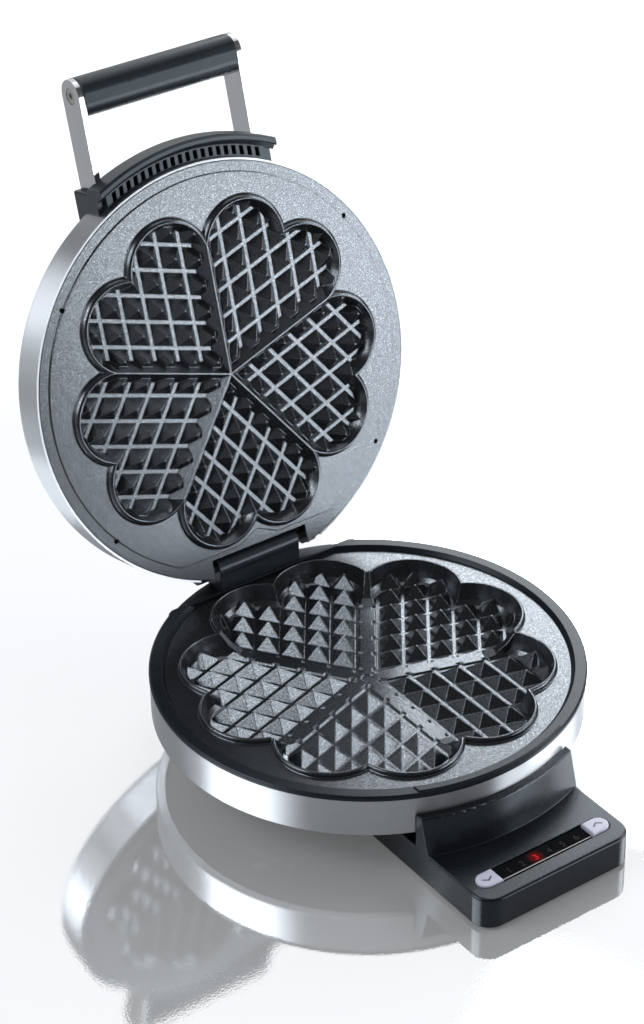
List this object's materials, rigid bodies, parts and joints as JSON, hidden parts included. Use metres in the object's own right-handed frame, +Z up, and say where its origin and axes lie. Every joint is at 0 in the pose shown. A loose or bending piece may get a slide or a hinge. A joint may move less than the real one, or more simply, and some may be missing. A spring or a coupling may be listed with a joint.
{
  "type": "waffle maker",
  "caption": "Round heart-waffle maker with a hinged steel lid, non-stick pyramid plates, a bar handle on flat arms and a front control block with a digit display and push buttons.",
  "frame": {"origin": "on the table, on the vertical axis of the round drum", "axes": "+Z up, -Y towards the control block at the front, +X to the right seen from the front"},
  "size_m": [0.2166, 0.3367, 0.3082],
  "materials": {
    "housing_plastic": "satin black moulded plastic",
    "rim_plastic": "satin black moulded plastic",
    "handle_plastic": "satin dark grey moulded plastic",
    "foot_rubber": "matt",
    "shell_steel": "brushed",
    "arm_steel": "polished",
    "nonstick": "satin non-stick coat, finely speckled",
    "element_steel": "heat-tinted",
    "sheet_steel": "bare pressed sheet",
    "screw_steel": "zinc plated",
    "lens_plastic": "high gloss smoked",
    "button_plastic": "gloss white",
    "board_laminate": "solder mask",
    "switch_plastic": "moulded",
    "terminal_plastic": "moulded"
  },
  "bodies": {
    "base": {"base_housing": "housing_plastic", "base_bottom_cover": "housing_plastic", "rubber_feet": "foot_rubber", "bottom_screws": "screw_steel", "cord_gland": "foot_rubber", "lower_shell_band": "shell_steel", "lower_rim": "rim_plastic", "lower_baking_plate": "nonstick", "lower_heating_element": "element_steel", "lower_heat_shield": "sheet_steel", "lower_plate_screws": "screw_steel", "temperature_sensor": "sheet_steel", "lower_thermal_fuse": "sheet_steel", "terminal_block": "terminal_plastic", "control_board": "board_laminate", "button_switches": "switch_plastic", "led_display": "switch_plastic", "display_lens": "lens_plastic", "hinge_knuckle": "rim_plastic", "hinge_pin": "screw_steel", "knuckle_screws": "screw_steel"},
    "lid": {"lid_shell": "shell_steel", "upper_baking_plate": "nonstick", "upper_heating_element": "element_steel", "upper_heat_shield": "sheet_steel", "upper_mounting_ring": "sheet_steel", "upper_plate_screws": "screw_steel", "upper_thermal_fuse": "sheet_steel", "lid_hinge_bracket": "sheet_steel", "handle_base": "handle_plastic", "right_handle_arm": "arm_steel", "left_handle_arm": "arm_steel", "arm_screws": "screw_steel", "handle_grip": "handle_plastic", "handle_screws": "screw_steel"},
    "button_down": {"button_down": "button_plastic"},
    "button_up": {"button_up": "button_plastic"}
  },
  "joints": [
    {"name": "lid_hinge", "type": "hinge", "parent": "base", "child": "lid", "pos_m": [0, 0.1002, 0.0579], "axis": [1, 0, 0], "range_deg": [0, 105.2]},
    {"name": "button_down_press", "type": "slide", "parent": "base", "child": "button_down", "axis": [0, 0, -1], "range_m": [0, 0.001], "stiffness_N_per_m": 900},
    {"name": "button_up_press", "type": "slide", "parent": "base", "child": "button_up", "axis": [0, 0, -1], "range_m": [0, 0.001], "stiffness_N_per_m": 900}
  ]
}
